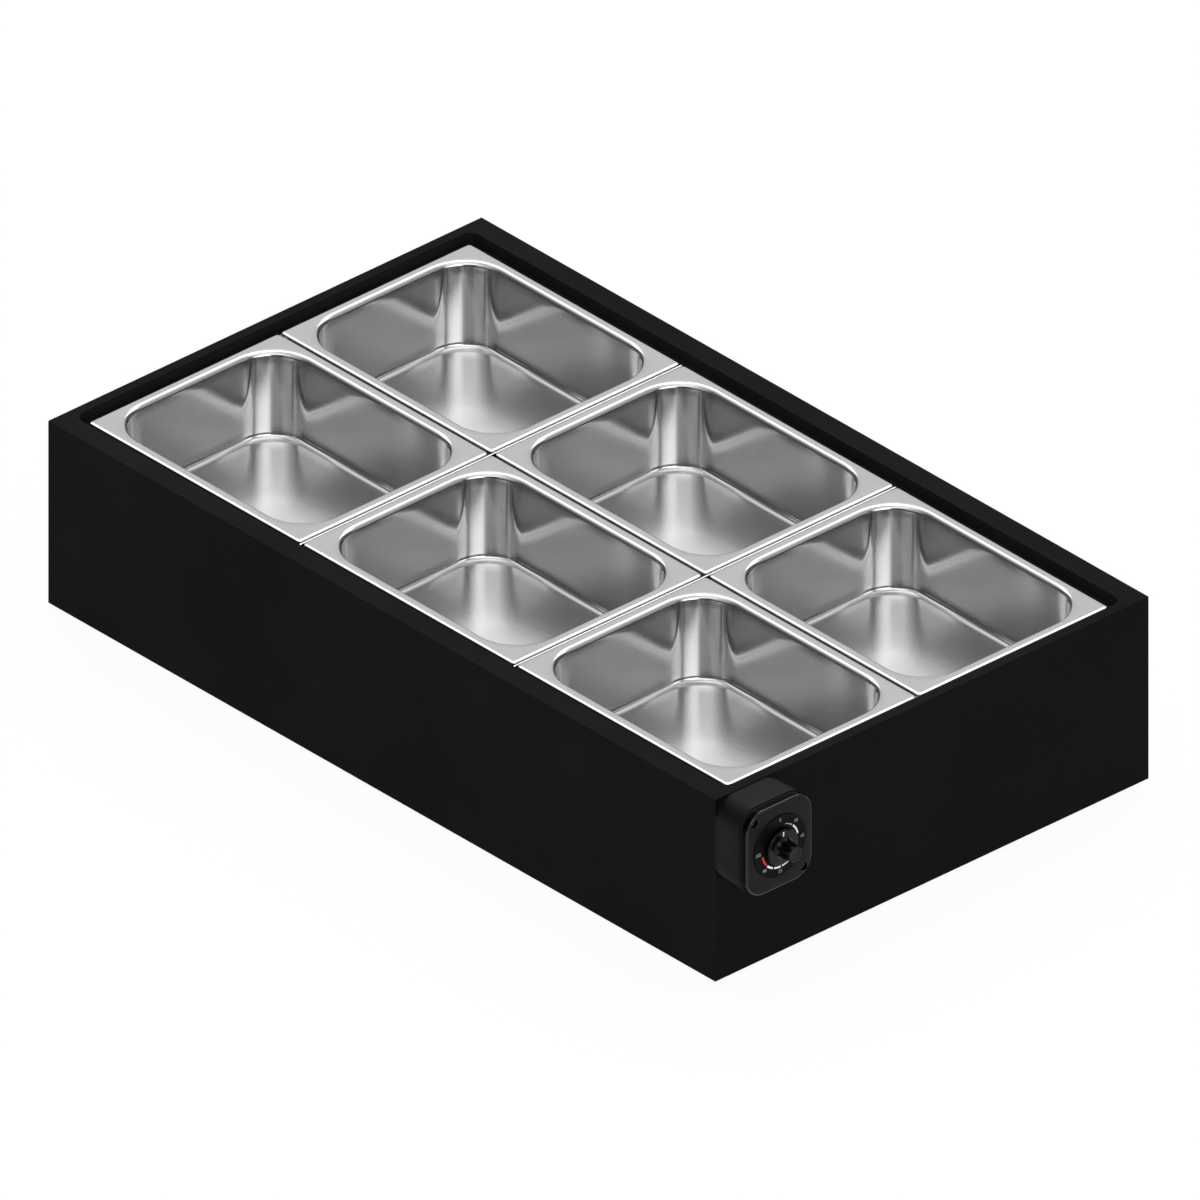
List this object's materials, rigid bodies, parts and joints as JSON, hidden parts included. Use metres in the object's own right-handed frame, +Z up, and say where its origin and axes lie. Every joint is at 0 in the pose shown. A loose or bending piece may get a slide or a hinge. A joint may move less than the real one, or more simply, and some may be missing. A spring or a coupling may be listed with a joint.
{
  "type": "electric buffet warmer",
  "caption": "Electric buffet warmer: black casing round a water bath with rectangular lift-out food pans, heated from below and set by a thermostat knob on one end.",
  "frame": {"origin": "middle of the whole footprint, knob and gland included, on the surface that the feet stand on", "axes": "+X towards the end with the control box, +Y towards the rear, +Z up"},
  "size_m": [1.0978, 0.627, 0.225],
  "materials": {
    "stainless": "satin stainless sheet, deep drawn",
    "powder_coat": "fine-textured black powder coat",
    "bath_steel": "satin stainless sheet",
    "bar_steel": "bright folded stainless",
    "zinc_steel": "zinc-plated steel",
    "foot_rubber": "moulded black rubber",
    "seal_rubber": "silicone rubber sheet",
    "element_steel": "heat-darkened steel tube",
    "ceramic": "white steatite",
    "mineral_wool": "mineral wool board",
    "reflector": "bright aluminium sheet",
    "box_plastic": "moulded black plastic, fine texture",
    "cover_plastic": "moulded black plastic, satin",
    "dial_sheet": "printed black dial",
    "knob_plastic": "moulded black plastic, half gloss",
    "thermostat_plastic": "phenolic thermostat housing",
    "black_screw": "blackened screws",
    "copper": "copper tube",
    "brass": "turned brass",
    "lead_brown": "brown silicone lead",
    "lead_blue": "blue silicone lead",
    "lead_green": "green silicone lead",
    "lead_red": "red silicone lead",
    "gland_plastic": "moulded black plastic"
  },
  "bodies": {
    "root": {"casing_front": "powder_coat", "casing_right_end": "powder_coat", "casing_rear": "powder_coat", "casing_left_end": "powder_coat", "top_frame": "powder_coat", "corner_angles": "zinc_steel", "base_plate": "zinc_steel", "base_screws": "zinc_steel", "base_nuts": "zinc_steel", "weld_studs": "zinc_steel", "stud_nuts": "zinc_steel", "foot_screws": "zinc_steel", "element_clamps": "zinc_steel", "bulb_clips": "zinc_steel", "block_screws": "zinc_steel", "box_screws": "zinc_steel", "box_nuts": "zinc_steel", "thermostat_screws": "zinc_steel", "well_tank": "bath_steel", "well_gasket": "seal_rubber", "cross_bar_left": "bar_steel", "cross_bar_middle": "bar_steel", "long_bar": "bar_steel", "bar_seats": "bath_steel", "feet": "foot_rubber", "heating_element": "element_steel", "element_terminals": "ceramic", "thermal_cutout": "ceramic", "sensor_bulb": "copper", "insulation_bottom": "mineral_wool", "insulation_front": "mineral_wool", "insulation_rear": "mineral_wool", "insulation_left": "mineral_wool", "insulation_right": "mineral_wool", "heat_reflector": "reflector", "control_box_body": "box_plastic", "cover_seal": "seal_rubber", "control_box_cover": "cover_plastic", "cover_screws": "black_screw", "dial_plate": "dial_sheet", "wire_grommet": "seal_rubber", "thermostat_body": "thermostat_plastic", "cable_gland": "gland_plastic", "gland_nut": "gland_plastic", "terminal_block": "ceramic", "earth_stud": "brass", "thermostat_capillary": "copper", "lead_live": "lead_brown", "lead_heater": "lead_red", "lead_neutral": "lead_blue", "lead_earth": "lead_green"},
    "dial_knob": {"knob": "knob_plastic", "thermostat_shaft": "zinc_steel"},
    "lift_pan_front_left": {"pan_front_left": "stainless"},
    "lift_pan_front_middle": {"pan_front_middle": "stainless"},
    "lift_pan_front_right": {"pan_front_right": "stainless"},
    "lift_pan_rear_left": {"pan_rear_left": "stainless"},
    "lift_pan_rear_middle": {"pan_rear_middle": "stainless"},
    "lift_pan_rear_right": {"pan_rear_right": "stainless"}
  },
  "joints": [
    {"name": "knob_turn", "type": "hinge", "parent": "root", "child": "dial_knob", "pos_m": [0.5261, -0.2675, 0.173], "axis": [-1, 0, 0], "range_deg": [0, 270]},
    {"name": "pan_lift_front_left", "type": "slide", "parent": "root", "child": "lift_pan_front_left", "axis": [0, 0, 1], "range_m": [0, 0.14]},
    {"name": "pan_lift_front_middle", "type": "slide", "parent": "root", "child": "lift_pan_front_middle", "axis": [0, 0, 1], "range_m": [0, 0.14]},
    {"name": "pan_lift_front_right", "type": "slide", "parent": "root", "child": "lift_pan_front_right", "axis": [0, 0, 1], "range_m": [0, 0.14]},
    {"name": "pan_lift_rear_left", "type": "slide", "parent": "root", "child": "lift_pan_rear_left", "axis": [0, 0, 1], "range_m": [0, 0.14]},
    {"name": "pan_lift_rear_middle", "type": "slide", "parent": "root", "child": "lift_pan_rear_middle", "axis": [0, 0, 1], "range_m": [0, 0.14]},
    {"name": "pan_lift_rear_right", "type": "slide", "parent": "root", "child": "lift_pan_rear_right", "axis": [0, 0, 1], "range_m": [0, 0.14]}
  ]
}
